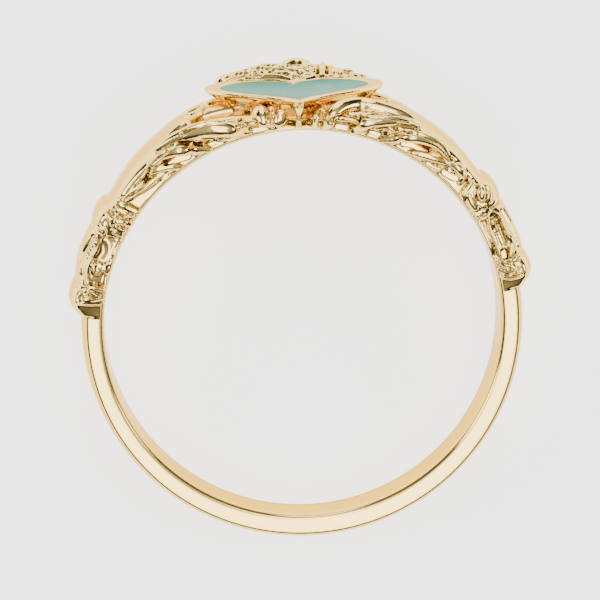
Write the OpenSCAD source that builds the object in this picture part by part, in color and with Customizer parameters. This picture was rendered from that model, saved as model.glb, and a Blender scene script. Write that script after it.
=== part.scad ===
// A claddagh ring: two hands, each from a buttoned cuff, hold a crowned heart of green stone.
// One gold casting carries the shank, collars, sleeves, cuffs, hands, heart cup and crown,
// and the flat stone heart lies in the cup.
// Ring frame: finger axis along Z with the heart's point towards +Z, head towards +Y.
// The finished ring lies on its side, on its crown tips and on the back of its shank.

/* [Finger hole and shank] */
// Inner diameter of the ring, a US size 7
ring_id = 17.3; // [14:0.1:22]
// Width of the shank at the back of the finger
shank_w = 2.0; // [1.5:0.1:3]
// Width of the band under the heart
head_band_w = 3.7; // [3:0.1:4.6]
// Thickness of the shank at the middle of its width
shank_t = 1.05; // [0.8:0.05:1.5]
// Height of the shank's domed outer face above its flat sides
shank_dome = 0.3; // [0.1:0.05:0.5]

/* [Sleeves, cuffs and hands] */
// Width of the sleeve along the finger
sleeve_w = 3.9; // [3.6:0.1:4.6]
// Thickness of the sleeve over the finger hole
sleeve_t = 1.5; // [1.2:0.05:2]
// Width of the hand where it meets the heart
hand_w = 5.2; // [4.4:0.1:6]
// Thickness of the back of the hand over the finger hole
hand_t = 1.62; // [1.3:0.02:1.9]
// Height of the lace ribs on the sleeve
lace_h = 0.1; // [0.04:0.01:0.15]
// Depth of the dished panel in the sleeve's flank
dish_d = 0.14; // [0.05:0.01:0.2]
// Height of the button on the cuff's flank
button_h = 0.3; // [0.15:0.01:0.4]
// Height of the fingers' ridges
finger_h = 0.3; // [0.15:0.01:0.4]
// Height of the thumb's ridge
thumb_h = 0.34; // [0.2:0.01:0.45]

/* [Heart and crown] */
// Width of the stone heart across the finger
stone_w = 6.36; // [5:0.05:7]
// Length of the stone heart along the finger
stone_l = 5.8; // [5:0.05:6.4]
// Thickness of the stone
stone_t = 0.95; // [0.6:0.05:1.2]
// Gap between the stone and the sides and floor of its seat
stone_gap = 0.03; // [0.02:0.01:0.06]
// Width of the gold rim around the stone
rim_w = 0.5; // [0.35:0.05:0.7]
// Height of the heart's rim over the finger hole
heart_h = 1.5; // [1.3:0.05:2]
// Height of the crown over the finger hole, at its middle
crown_h = 1.95; // [1.6:0.05:2.4]
// Length of the crown along the finger, from the heart's rim to its tips
crown_l = 2.3; // [1.8:0.1:2.8]
// Width of the crown at its tips
crown_w = 6.8; // [5.6:0.1:7.6]
// Depth of the notches between the crown's five points
notch_d = 0.55; // [0.3:0.05:0.8]
// Radius of the bead on each crown point
bead_r = 0.26; // [0.18:0.02:0.32]
// Turn of the heart and crown off the middle of the hands, in degrees
head_turn = 1.8; // [0:0.1:3]

/* [Hidden] */
$fn = 16;

gold = [0.93, 0.74, 0.38];
jade = [0.42, 0.66, 0.55];

bore_r = ring_id / 2;
// What stands on the band starts this far over the finger hole, inside the band
shoulder_root = 0.24;
head_root = 0.37;
// How far the roots stay in from the band's edge
root_inset = 0.16;

// Angles from the head to the places along one shoulder, in degrees
sleeve_end = 74;
cuff_start = 62;
wrist = 52;
finger_end = 7;
// Angle between two ribs of the lace, and between two fingers, in degrees
lace_pitch = 1.8;
finger_pitch = 9;
// Angle by which a finger leans back from the top of the hand to the finger hole, in degrees
finger_lean = 9;
// How far apart the sections of a shoulder lie, in degrees
shoulder_step = 1;
// Places round a section, in degrees from the middle of its top: the thumb, the cuff's button
thumb_at = -52;
button_at = 62;
// Angle from the head to the cuff's button, and to the middle of the sleeve's panel
button_a = 57;
dish_a = 68;

// The heart's middle lies on the finger hole's middle plane
heart_y = bore_r + heart_h;
cup_w = stone_w + 2 * rim_w;
cup_l = stone_l + 2.2 * rim_w;
cup_back = -cup_l / 2;
crown_tip = cup_back - crown_l;
crown_r = bore_r + crown_h;

// The band's side height at the head, and its dome: an arc over the whole width of the head's band
side_r = bore_r + shank_t - shank_dome;
half_w = head_band_w / 2;
dome_r = (half_w * half_w + shank_dome * shank_dome) / (2 * shank_dome);
function dome_at(z) = side_r + shank_dome - dome_r + sqrt(dome_r * dome_r - z * z);
// The band tapers between these places in front of and behind the finger
band_reach = side_r + 2 * shank_dome;

// The crown's outer tips, as an angle from its middle, and how far the plate runs past them
tip_angle = asin(0.38 * crown_w / crown_r);
crown_edge = 1.37 * tip_angle;
point_pitch = tip_angle / 2;
// The crown sags from its middle to its ends by this much
crown_sag = 0.25;
// The lower edge of the crown's tips, and the beads on them
tip_low = bore_r + 0.58 * crown_h;
bead_size = 1.3 * bead_r;
bead_y = crown_r - 0.2 * crown_h;
bead_z = crown_tip + bead_size;

// How the ring rests: the outer tips of the crown and the back of the shank touch the floor
tip_y = tip_low * cos(tip_angle + head_turn);
back_y = dome_at(shank_w / 2);
back_z = mix(shank_w / 2, half_w, (1 - back_y / band_reach) / 2);
rest_tilt = atan((-crown_tip - back_z) / (tip_y + back_y));
rest_lift = back_y * sin(rest_tilt) + back_z * cos(rest_tilt);
front_y = back_y * cos(rest_tilt) + back_z * sin(rest_tilt);
far_y = bead_y * cos(rest_tilt) - bead_z * sin(rest_tilt) + bead_size;
rest_shift = (front_y - far_y) / 2;

// Sections along one shoulder, from the shank to the heart.
// Widths are shares of the sleeve's or the hand's width, heights shares of its thickness.
// columns: angle from the head, half width share, side height share, top height share
SLEEVE_ROWS = [
    [82.5, 0.42, 0.52, 0.80], [81, 0.455, 0.66, 1.00], [79.5, 0.475, 0.70, 1.08],
    [77.5, 0.475, 0.70, 1.08], [76, 0.46, 0.64, 1.02], [75, 0.43, 0.50, 0.90],
    [sleeve_end, 0.46, 0.52, 0.97], [cuff_start, 0.46, 0.52, 0.97],
    [61, 0.44, 0.50, 0.90], [60, 0.50, 0.66, 1.04], [58, 0.52, 0.72, 1.09],
    [56, 0.52, 0.72, 1.09], [54.5, 0.50, 0.66, 1.04], [53.6, 0.45, 0.52, 0.92],
    [wrist, 0.47, 0.58, 0.97],
];
HAND_ROWS = [
    [51, 0.29, 0.50, 0.86], [50, 0.32, 0.55, 0.92], [46, 0.35, 0.58, 0.96], [40, 0.40, 0.58, 1.00],
    [34, 0.44, 0.55, 1.02], [28, 0.47, 0.52, 1.02], [22, 0.48, 0.46, 0.97],
    [16, 0.47, 0.40, 0.85], [finger_end, 0.42, 0.36, 0.70],
];
// Sections of the heart cup from the finger hole to the rim: height share and outline share
CUP_ROWS = [[0.2, 0.48], [0.35, 0.56], [0.55, 0.72], [0.78, 0.93], [0.9, 1], [0.97, 1], [1, 0.985]];

// Places and curves
function at(angle, radius, z) = [radius * sin(angle), radius * cos(angle), z];
function mix(a, b, share) = a + (b - a) * share;

// Half width of the band, growing from the back of the finger to the head
function band_half(angle) = mix(shank_w, head_band_w, (1 + cos(angle)) / 2) / 2;

// Half width, side height and top height over the finger hole at each place along a shoulder
profile = concat(
    [for (r = SLEEVE_ROWS) [r[0], r[1] * sleeve_w, r[2] * sleeve_t, r[3] * sleeve_t]],
    [for (r = HAND_ROWS) [r[0], r[1] * hand_w, r[2] * hand_t, r[3] * hand_t]]
);
function from_profile(a, column) = lookup(a, [for (r = profile) [r[0], r[column]]]);

// Raised work at an angle from the head and a place u round the section, near side positive
function bump(x, middle, spread) = exp(-pow((x - middle) / spread, 2));
function within(x, low, high, soft) = max(0, min(1, (x - low) / soft, (high - x) / soft));
function lace(a, u) = lace_h * within(a, cuff_start, sleeve_end, 0.9) * within(abs(u), 0, 72, 14)
    * (1 - abs(sin(180 * a / lace_pitch)));
function dish(a, u) = -dish_d * bump(a, dish_a, 4) * bump(abs(u), 88, 22);
function button(a, u) = button_h * bump(a, button_a, 2.2) * bump(abs(u), button_at, 16);
function thumb(a, u) = thumb_h * within(a, 14, 48, 6) * bump(u, thumb_at, 17);
function fingers(a, u) = finger_h * within(a, finger_end, 50, 4) * within(u, 22, 200, 20)
    * (abs(sin(180 * (a - finger_lean * u / 90) / finger_pitch)) - 0.35);
function relief(a, u) = lace(a, u) + dish(a, u) + button(a, u) + thumb(a, u) + fingers(a, u);

// One point round a section: the dome for u up to 90 degrees either way, then down the flank
function skin_point(angle, u) =
    let (
        a = abs(angle),
        half = from_profile(a, 1),
        side_h = from_profile(a, 2),
        top_h = from_profile(a, 3),
        v = min(90, abs(u)),
        down = (abs(u) - v) / 60,
        out = relief(a, u) * (1 - down),
        z = mix(half, min(half, band_half(a)) - root_inset, down) * sin(v) + out * sin(v),
        h = mix(side_h, shoulder_root, down) + (top_h - side_h) * cos(v) + out * cos(v)
    )
    at(angle, bore_r + h, sign(u) * z);

function section(angle) = [for (u = [-150:15:150]) skin_point(angle, u)];

// The heart curve, one wide and one long, its point towards +Z: x across and z along the finger
function heart_point(t) = [
    pow(sin(t), 3) / 2,
    -(13 * cos(t) - 5 * cos(2 * t) - 2 * cos(3 * t) - cos(4 * t) + 2.5) / 29
];
function heart_outline(width, length, y) =
    [for (t = [0:7.5:352.5]) let (p = heart_point(t)) [p[0] * width, y, p[1] * length]];

// A closed skin with flat ends over sections of equal length
module skin(sections) {
    n = len(sections[0]);
    m = len(sections);
    sides = [for (i = [0:m - 2], j = [0:n - 1])
        let (a = i * n, b = (i + 1) * n, k = (j + 1) % n)
        each [[a + j, b + k, b + j], [a + j, a + k, b + k]]];
    ends = [for (j = [1:n - 2])
        each [[0, j + 1, j], [(m - 1) * n, (m - 1) * n + j, (m - 1) * n + j + 1]]];
    polyhedron(points = [for (s = sections) each s], faces = concat(sides, ends));
}

// The band all the way round, domed outside, its sides tapering from the head to the back
module band() {
    dome_end = asin(half_w / dome_r);
    intersection() {
        rotate_extrude($fn = 180) polygon(concat(
            [[bore_r, half_w], [bore_r, -half_w]],
            [for (k = [-dome_end:dome_end / 8:dome_end * 1.001])
                [side_r + shank_dome - dome_r * (1 - cos(k)), dome_r * sin(k)]]
        ));
        rotate([90, 0, 90]) linear_extrude(height = 2 * band_reach, center = true) polygon([
            [-band_reach, -shank_w / 2], [band_reach, -half_w],
            [band_reach, half_w], [-band_reach, shank_w / 2]
        ]);
    }
}

// Collar, sleeve, cuff and hand on the right for 1 and on the left for -1
module shoulder(side) {
    angles = [for (a = [finger_end:shoulder_step:SLEEVE_ROWS[0][0]]) side * a];
    last = len(angles) - 1;
    skin([for (i = [0:last]) section(angles[side > 0 ? last - i : i])]);
}

// Cup with the heart's outline, narrowing down to the band
module cup() {
    skin([for (row = CUP_ROWS)
        heart_outline(cup_w * row[1], cup_l * row[1], bore_r + heart_h * row[0])]);
}

module heart_prism(grow, low, high) {
    outline = [for (p = heart_outline(stone_w + 2 * grow, stone_l + 2.2 * grow, 0)) [p[0], -p[2]]];
    translate([0, high, 0]) rotate([90, 0, 0]) linear_extrude(height = high - low) polygon(outline);
}

// Crown plate behind the heart, with five points and a bead on each
module crown() {
    stations = 32;
    skin([for (k = [0:stations])
        let (
            a = mix(crown_edge, -crown_edge, k / stations),
            notch = notch_d * (1 - abs(cos(180 * a / point_pitch))),
            slope = 0.9 * max(0, abs(a) - tip_angle) / 4,
            z_tip = min(-1, crown_tip + notch + slope),
            top = crown_r - crown_sag * pow(a / crown_edge, 2)
        )
        [
            at(a, bore_r + head_root, -0.3), at(a, bore_r + head_root, root_inset - band_half(0)),
            at(a, bore_r + 0.34 * crown_h, mix(-band_half(0), z_tip, 0.5)),
            at(a, tip_low, z_tip), at(a, top - 0.16 * crown_h, z_tip),
            at(a, top - 0.04 * crown_h, z_tip + 0.3), at(a, top, cup_back - 0.3),
            at(a, top - 0.1 * crown_h, cup_back + 0.1), at(a, bore_r + 0.5 * crown_h, -0.3)
        ]]);
    for (k = [-2:2]) {
        translate(at(k * point_pitch, bead_y, bead_z)) sphere(r = bead_size);
    }
}

module head() {
    difference() {
        union() {
            cup();
            crown();
        }
        heart_prism(stone_gap, heart_y - stone_t - stone_gap, heart_y + 1);
    }
}

// From the ring frame to the way the ring lies
module lying() {
    translate([0, rest_shift, rest_lift]) rotate([rest_tilt, 0, 0]) children();
}

module ring_body() {
    color(gold) lying() {
        band();
        for (side = [-1, 1]) shoulder(side);
        rotate([0, 0, -head_turn]) head();
    }
}

module heart_stone() {
    color(jade) lying() rotate([0, 0, -head_turn]) heart_prism(0, heart_y - stone_t, heart_y);
}

ring_body();
heart_stone();
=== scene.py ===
import math

import bmesh
import bpy
import numpy as np
from mathutils import Matrix, Vector
from mathutils.bvhtree import BVHTree


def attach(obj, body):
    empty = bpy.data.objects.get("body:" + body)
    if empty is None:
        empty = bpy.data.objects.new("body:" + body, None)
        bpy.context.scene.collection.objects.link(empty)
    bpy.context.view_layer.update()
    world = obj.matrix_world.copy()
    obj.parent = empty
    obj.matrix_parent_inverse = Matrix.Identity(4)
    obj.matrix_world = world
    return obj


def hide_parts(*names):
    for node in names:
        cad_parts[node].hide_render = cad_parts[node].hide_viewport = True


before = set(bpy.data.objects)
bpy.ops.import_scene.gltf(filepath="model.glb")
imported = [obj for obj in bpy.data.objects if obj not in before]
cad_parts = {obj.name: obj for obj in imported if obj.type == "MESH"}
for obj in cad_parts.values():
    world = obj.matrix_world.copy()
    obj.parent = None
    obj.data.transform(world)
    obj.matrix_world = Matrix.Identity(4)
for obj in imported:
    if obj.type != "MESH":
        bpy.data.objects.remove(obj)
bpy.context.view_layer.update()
print("ring: frame loaded")

# Everything is shaped in millimetres with the finger along z, the heart's point towards +z and the
# head towards +y. lie() then lays it on its side, as the solids lie, and turns it into metres.
ringSizes = {
    "bore": 8.65, "tilt": 13.975, "lift": 3.308, "shift": -0.989, "headTurn": 1.8,
    "backWidth": 2.0, "headWidth": 3.7, "shankThick": 1.05, "dome": 0.3,
}
# Where the camera stands, seen from the middle of the ring
cameraSizes = {
    "distance": 135.0, "raise": 12.5, "side": -2.2, "roll": 3.4, "focalPx": 3085.0,
    "middlePx": (302.1, 319.3), "imagePx": 600,
}


def rad(angle):
    return angle * math.pi / 180


def mix(a, b, share):
    return a + (b - a) * share


def smoothShare(x, low, high):
    s = min(1, max(0, (x - low) / (high - low)))
    return s * s * (3 - 2 * s)


def at(angle, radius, z):
    return np.array([radius * math.sin(rad(angle)), radius * math.cos(rad(angle)), z])


def lie(points):
    t = rad(ringSizes["tilt"])
    p = np.asarray(points, float).reshape(-1, 3)
    out = np.empty_like(p)
    out[:, 0] = p[:, 0]
    out[:, 1] = p[:, 1] * math.cos(t) - p[:, 2] * math.sin(t) + ringSizes["shift"]
    out[:, 2] = p[:, 1] * math.sin(t) + p[:, 2] * math.cos(t) + ringSizes["lift"]
    return out / 1000


def turnHead(points):
    t = -rad(ringSizes["headTurn"])
    p = np.asarray(points, float).reshape(-1, 3)
    return np.stack([p[:, 0] * math.cos(t) - p[:, 1] * math.sin(t),
                     p[:, 0] * math.sin(t) + p[:, 1] * math.cos(t), p[:, 2]], 1)


def cameraFrame():
    c = cameraSizes
    toward = Vector((math.sin(rad(c["side"])), math.sin(rad(c["raise"])), math.cos(rad(c["raise"]))))
    toward.normalize()
    up = Vector((math.sin(rad(c["roll"])), math.cos(rad(c["roll"])), 0))
    right = up.cross(toward).normalized()
    up = toward.cross(right).normalized()
    perPx = c["distance"] / c["focalPx"]
    half = c["imagePx"] / 2
    eye = toward * c["distance"] - right * ((c["middlePx"][0] - half) * perPx)
    eye += up * ((c["middlePx"][1] - half) * perPx)
    return eye, right, up, toward


eye, eyeRight, eyeUp, eyeToward = cameraFrame()


def sight(px, py):
    half = cameraSizes["imagePx"] / 2
    return (eyeRight * (px - half) + eyeUp * (half - py) - eyeToward * cameraSizes["focalPx"]).normalized()


def surfaceOf(points, faces, plane=1.6, reach=0.35):
    # finds the place on a shape that shows at a place of the picture, and the way it faces there;
    # beside the shape it is the nearest place to where the line of sight meets a plane across the finger
    tree = BVHTree.FromPolygons([tuple(p) for p in points], faces)

    def spotAt(px, py):
        way = sight(px, py)
        hit, normal, _, _ = tree.ray_cast(eye, way)
        if hit is None:
            hit = eye + way * ((plane - eye.z) / way.z)
            near, normal, _, gap = tree.find_nearest(hit)
            if gap < reach:
                hit = near
        if normal.dot(way) > 0:
            normal = -normal
        return np.array(hit), np.array(normal)

    return spotAt


# Meshes are kept as (points, faces) until they become objects
def joined(parts):
    points, faces, start = [], [], 0
    for p, f in parts:
        points.append(np.asarray(p, float))
        faces += [tuple(i + start for i in face) for face in f]
        start += len(p)
    return np.concatenate(points), faces


def loft(sections, closed=False):
    n = len(sections[0])
    m = len(sections)
    faces = []
    for i in range(m if closed else m - 1):
        a, b = i * n, ((i + 1) % m) * n
        for j in range(n):
            k = (j + 1) % n
            faces.append((a + j, a + k, b + k, b + j))
    if not closed:
        faces.append(tuple(range(n - 1, -1, -1)))
        faces.append(tuple((m - 1) * n + j for j in range(n)))
    return np.concatenate([np.asarray(s, float) for s in sections]), faces


def mirroredZ(part):
    p, f = part
    return np.asarray(p) * [1, 1, -1], [tuple(reversed(face)) for face in f]


def spline(points, steps=8):
    # a smooth path through the points, which may carry further values such as a radius
    p = np.asarray(points, float)
    if len(p) < 3:
        s = np.linspace(0, 1, steps + 1)[:, None]
        return p[0] * (1 - s) + p[-1] * s
    ends = np.vstack([2 * p[0] - p[1], p, 2 * p[-1] - p[-2]])
    out = []
    for i in range(1, len(ends) - 2):
        a, b, c, d = ends[i - 1:i + 3]
        for s in np.linspace(0, 1, steps, endpoint=False):
            out.append(0.5 * (2 * b + (c - a) * s + (2 * a - 5 * b + 4 * c - d) * s * s
                              + (3 * b - a - 3 * c + d) * s ** 3))
    out.append(p[-1])
    return np.array(out)


def rope(path, radii, ups, flat=1.0, sides=12):
    # a round or flattened bar along a path, closed with round ends
    path, ups = np.asarray(path), np.asarray(ups)
    tangents = np.gradient(path, axis=0)
    tangents /= np.linalg.norm(tangents, axis=1)[:, None] + 1e-9
    sections = []

    def ringAt(i, scale, push):
        t = tangents[i]
        up = ups[i] - t * np.dot(ups[i], t)
        up /= np.linalg.norm(up) + 1e-9
        side = np.cross(t, up)
        r = radii[i] * scale
        centre = path[i] + t * push
        return [centre + side * r * math.cos(w) + up * r * flat * math.sin(w)
                for w in np.linspace(0, 2 * math.pi, sides, endpoint=False)]

    caps = [80, 60, 35]
    for c in caps:
        sections.append(ringAt(0, math.cos(rad(c)), -radii[0] * math.sin(rad(c))))
    sections += [ringAt(i, 1, 0) for i in range(len(path))]
    for c in reversed(caps):
        sections.append(ringAt(len(path) - 1, math.cos(rad(c)), radii[-1] * math.sin(rad(c))))
    return loft(sections)


def ball(centre, normal, size, rows=8, sides=12):
    # an ellipsoid: size holds its half lengths across, along and out of the surface
    n = np.asarray(normal) / (np.linalg.norm(normal) + 1e-9)
    across = np.cross([0, 0.3, 1] if abs(n[2]) < 0.9 else [0, 1, 0], n)
    across /= np.linalg.norm(across)
    along = np.cross(n, across)
    sections = []
    for k in range(1, rows):
        w = math.pi * k / rows
        sections.append([np.asarray(centre) + n * size[2] * math.cos(w)
                         + (across * size[0] * math.cos(v) + along * size[1] * math.sin(v)) * math.sin(w)
                         for v in np.linspace(0, 2 * math.pi, sides, endpoint=False)])
    return loft(sections)


def stroke(spotAt, row):
    # one bar of relief: picture places with radii in mm, how far its middle lies out of the surface
    # as a share of the radius, and its flatness
    path = spline([(p[0], p[1], p[2]) for p in row["path"]], row.get("steps", 8))
    places = [spotAt(p[0], p[1]) for p in path]
    spots = np.array([s for s, _ in places])
    ups = np.array([u for _, u in places])
    for _ in range(3):
        ups[1:-1] = (ups[:-2] + ups[1:-1] + ups[2:]) / 3
        spots[1:-1] = (spots[:-2] + 2 * spots[1:-1] + spots[2:]) / 4
    ups /= np.linalg.norm(ups, axis=1)[:, None]
    radii = path[:, 2]
    spots = spots + ups * (radii * row.get("lift", 0.0))[:, None]
    return rope(spots, radii, ups, row.get("flat", 1.0))


def meshObject(name, points, faces):
    mesh = bpy.data.meshes.new(name)
    mesh.from_pydata([tuple(p) for p in points], [], faces)
    mesh.validate()
    mesh.update()
    obj = bpy.data.objects.new(name, mesh)
    bpy.context.scene.collection.objects.link(obj)
    return obj


def meshArrays(mesh):
    points = np.empty(len(mesh.vertices) * 3)
    mesh.vertices.foreach_get("co", points)
    edges = np.empty(len(mesh.edges) * 2, int)
    mesh.edges.foreach_get("vertices", edges)
    return points.reshape(-1, 3), edges.reshape(-1, 2)


def looseVertices(count, edges):
    # the vertices that don't hang together with the largest skin
    label = np.arange(count)
    while True:
        low = np.minimum(label[edges[:, 0]], label[edges[:, 1]])
        lower = label.copy()
        np.minimum.at(lower, edges[:, 0], low)
        np.minimum.at(lower, edges[:, 1], low)
        lower = lower[lower]
        if np.array_equal(lower, label):
            return np.where(label != np.bincount(label).argmax())[0]
        label = lower


def fused(name, parts, voxel):
    # casts all parts into one skin, and drops what doesn't touch it
    points, faces = joined(parts)
    obj = meshObject(name, points, faces)
    remesh = obj.modifiers.new("cast", "REMESH")
    remesh.mode = "VOXEL"
    remesh.voxel_size = voxel
    remesh.use_smooth_shade = True
    done = bpy.data.meshes.new_from_object(obj.evaluated_get(bpy.context.evaluated_depsgraph_get()))
    old = obj.data
    obj.modifiers.clear()
    obj.data = done
    bpy.data.meshes.remove(old)
    skin = bmesh.new()
    skin.from_mesh(done)
    skin.verts.ensure_lookup_table()
    loose = [skin.verts[i] for i in looseVertices(len(done.vertices), meshArrays(done)[1])]
    bmesh.ops.delete(skin, geom=loose, context="VERTS")
    skin.to_mesh(done)
    skin.free()
    return obj


def neighbourMean(values, edges, counts):
    out = np.empty_like(values)
    for k in range(values.shape[1]):
        out[:, k] = (np.bincount(edges[:, 0], values[edges[:, 1], k], len(values))
                     + np.bincount(edges[:, 1], values[edges[:, 0], k], len(values)))
    return out / counts[:, None]


def relaxed(points, edges, rounds, pull=0.5, push=-0.52):
    counts = np.maximum(1, np.bincount(edges.ravel(), minlength=len(points)))
    p = points.copy()
    for _ in range(rounds):
        p += pull * (neighbourMean(p, edges, counts) - p)
        if push:
            p += push * (neighbourMean(p, edges, counts) - p)
    return p


def vertexNormals(obj):
    normals = np.empty(len(obj.data.vertices) * 3)
    obj.data.vertex_normals.foreach_get("vector", normals)
    return normals.reshape(-1, 3)


def carve(points, normals, spotAt, grooves):
    # presses narrow grooves and pits into a finished skin
    out = points.copy()
    for row in grooves:
        path = spline([(p[0], p[1]) for p in row["path"]], 5) if len(row["path"]) > 1 else np.array(row["path"])
        spots = np.array([spotAt(p[0], p[1])[0] for p in path])
        width, depth = row["width"], row["depth"]
        low, high = spots.min(0) - width, spots.max(0) + width
        pick = np.where(np.all((points > low) & (points < high), axis=1))[0]
        if not len(pick):
            continue
        p = points[pick]
        best = np.full(len(pick), 1e9)
        for a, b in zip(spots[:-1], spots[1:]) if len(spots) > 1 else [(spots[0], spots[0] + 1e-6)]:
            ab = b - a
            s = np.clip(((p - a) @ ab) / (ab @ ab + 1e-12), 0, 1)
            best = np.minimum(best, np.linalg.norm(p - (a + s[:, None] * ab), axis=1))
        fade = np.clip(1 - (best / width) ** 2, 0, 1) ** 2
        out[pick] -= normals[pick] * (depth * fade)[:, None]
    return out


def finishSkin(obj, grooves, surface={}, rounds=6, creviceSize=0.06, creviceRounds=14):
    # smooths the cast skin, presses the grooves in, and keeps how deep each place lies as an attribute
    points, edges = meshArrays(obj.data)
    points = relaxed(points, edges, rounds)
    obj.data.vertices.foreach_set("co", points.ravel())
    obj.data.update()
    spotAt = surfaceOf(points, [tuple(p.vertices) for p in obj.data.polygons], **surface)
    points = carve(points, vertexNormals(obj), spotAt, grooves)
    points = relaxed(points, edges, 1)
    obj.data.vertices.foreach_set("co", points.ravel())
    obj.data.update()
    normals = vertexNormals(obj)
    # how deep each place lies below its smoothed neighbours; the gold darkens hollows with it as painted shade and
    # lightens ridges as painted highlight
    soft = relaxed(points, edges, creviceRounds, 0.6, 0)
    depth = np.einsum("ij,ij->i", soft - points, normals) / creviceSize
    crevice = obj.data.attributes.new("crevice", "FLOAT", "POINT")
    crevice.data.foreach_set("value", np.clip(depth, -1, 1))
    obj.data.vertices.foreach_set("co", lie(points).ravel())
    obj.data.polygons.foreach_set("use_smooth", [True] * len(obj.data.polygons))
    obj.data.update()


# Geometry Nodes: a row of small grains along a path, which lace, braid, granules and beads share
def grainTree():
    tree = bpy.data.node_groups.new("grainRow", "GeometryNodeTree")
    face = tree.interface
    face.new_socket("Geometry", in_out="INPUT", socket_type="NodeSocketGeometry")
    for name, kind in (("Spacing", "Float"), ("Length", "Float"), ("Width", "Float"), ("Height", "Float"),
                       ("Lean", "Float"), ("Jitter", "Float"), ("Seed", "Int"), ("Metal", "Material")):
        face.new_socket(name, in_out="INPUT", socket_type="NodeSocket" + kind)
    face.new_socket("Geometry", in_out="OUTPUT", socket_type="NodeSocketGeometry")
    nodes, links = tree.nodes, tree.links

    def node(kind, **values):
        n = nodes.new(kind)
        for key, value in values.items():
            setattr(n, key, value)
        return n

    source = node("NodeGroupInput")
    curve = node("GeometryNodeMeshToCurve")
    resample = node("GeometryNodeResampleCurve", mode="LENGTH")
    links.new(source.outputs["Geometry"], curve.inputs["Mesh"])
    links.new(curve.outputs["Curve"], resample.inputs["Curve"])
    links.new(source.outputs["Spacing"], resample.inputs["Length"])
    grain = node("GeometryNodeMeshIcoSphere")
    grain.inputs["Radius"].default_value = 0.5
    grain.inputs["Subdivisions"].default_value = 2
    place = node("GeometryNodeInstanceOnPoints")
    links.new(resample.outputs["Curve"], place.inputs["Points"])
    links.new(grain.outputs["Mesh"], place.inputs["Instance"])
    tangent = node("GeometryNodeInputTangent")
    along = node("FunctionNodeAlignRotationToVector", axis="X")
    links.new(tangent.outputs["Tangent"], along.inputs["Vector"])
    up = node("GeometryNodeInputNamedAttribute", data_type="FLOAT_VECTOR")
    up.inputs["Name"].default_value = "up"
    out = node("FunctionNodeAlignRotationToVector", axis="Z", pivot_axis="X")
    links.new(along.outputs["Rotation"], out.inputs["Rotation"])
    links.new(up.outputs["Attribute"], out.inputs["Vector"])
    lean = node("FunctionNodeAxisAngleToRotation")
    lean.inputs["Axis"].default_value = (0, 0, 1)
    links.new(source.outputs["Lean"], lean.inputs["Angle"])
    turn = node("FunctionNodeRotateRotation", rotation_space="LOCAL")
    links.new(out.outputs["Rotation"], turn.inputs["Rotation"])
    links.new(lean.outputs["Rotation"], turn.inputs["Rotate By"])
    links.new(turn.outputs["Rotation"], place.inputs["Rotation"])
    low = node("ShaderNodeMath", operation="SUBTRACT")
    low.inputs[0].default_value = 1
    links.new(source.outputs["Jitter"], low.inputs[1])
    high = node("ShaderNodeMath", operation="ADD")
    high.inputs[0].default_value = 1
    links.new(source.outputs["Jitter"], high.inputs[1])
    chance = node("FunctionNodeRandomValue", data_type="FLOAT")
    links.new(low.outputs[0], chance.inputs[2])
    links.new(high.outputs[0], chance.inputs[3])
    links.new(source.outputs["Seed"], chance.inputs["Seed"])
    size = node("ShaderNodeCombineXYZ")
    for axis, name in enumerate(("Length", "Width", "Height")):
        links.new(source.outputs[name], size.inputs[axis])
    scale = node("ShaderNodeVectorMath", operation="SCALE")
    links.new(size.outputs[0], scale.inputs[0])
    links.new(chance.outputs[1], scale.inputs["Scale"])
    links.new(scale.outputs[0], place.inputs["Scale"])
    real = node("GeometryNodeRealizeInstances")
    metal = node("GeometryNodeSetMaterial")
    sink = node("NodeGroupOutput")
    links.new(place.outputs["Instances"], real.inputs["Geometry"])
    links.new(real.outputs["Geometry"], metal.inputs["Geometry"])
    links.new(source.outputs["Metal"], metal.inputs["Material"])
    links.new(metal.outputs["Geometry"], sink.inputs["Geometry"])
    return tree


def grains(rows, sizes, material):
    # rows: lists of (place, up) pairs; returns the grains as (points, faces)
    points, ups, edges = [], [], []
    for row in rows:
        start = len(points)
        points += [tuple(p) for p, _ in row]
        ups += [tuple(u) for _, u in row]
        edges += [(start + i, start + i + 1) for i in range(len(row) - 1)]
    mesh = bpy.data.meshes.new("grainPath")
    mesh.from_pydata(points, edges, [])
    attribute = mesh.attributes.new("up", "FLOAT_VECTOR", "POINT")
    attribute.data.foreach_set("vector", np.asarray(ups, float).ravel())
    obj = bpy.data.objects.new("grainPath", mesh)
    bpy.context.scene.collection.objects.link(obj)
    modifier = obj.modifiers.new("grains", "NODES")
    modifier.node_group = grainNodes
    sockets = {s.name: s.identifier for s in grainNodes.interface.items_tree
               if s.item_type == "SOCKET" and s.in_out == "INPUT"}
    for key, value in sizes.items():
        modifier[sockets[key]] = value
    modifier[sockets["Metal"]] = material
    done = bpy.data.meshes.new_from_object(obj.evaluated_get(bpy.context.evaluated_depsgraph_get()))
    out = (meshArrays(done)[0], [tuple(p.vertices) for p in done.polygons])
    bpy.data.objects.remove(obj)
    bpy.data.meshes.remove(done)
    return out


def pictureRow(spotAt, path):
    return [spotAt(p[0], p[1]) for p in spline(path, 6)]


# Polished gold: warm metal with painted shade, darker and duller where it lies deep in crevices and hollows, a painted
# highlight, paler on ridges, and faint wear from handling
goldLook = {
    # deep is the painted shade colour of crevices and hollows, high the painted highlight colour of ridges
    "face": (0.83, 0.59, 0.175), "high": (0.90, 0.68, 0.26), "deep": (0.08, 0.042, 0.01), "edge": (0.8, 0.58, 0.26),
    "roughness": 0.12, "deepRoughness": 0.35, "wearScale": 900.0, "bump": 0.02,
}


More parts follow.
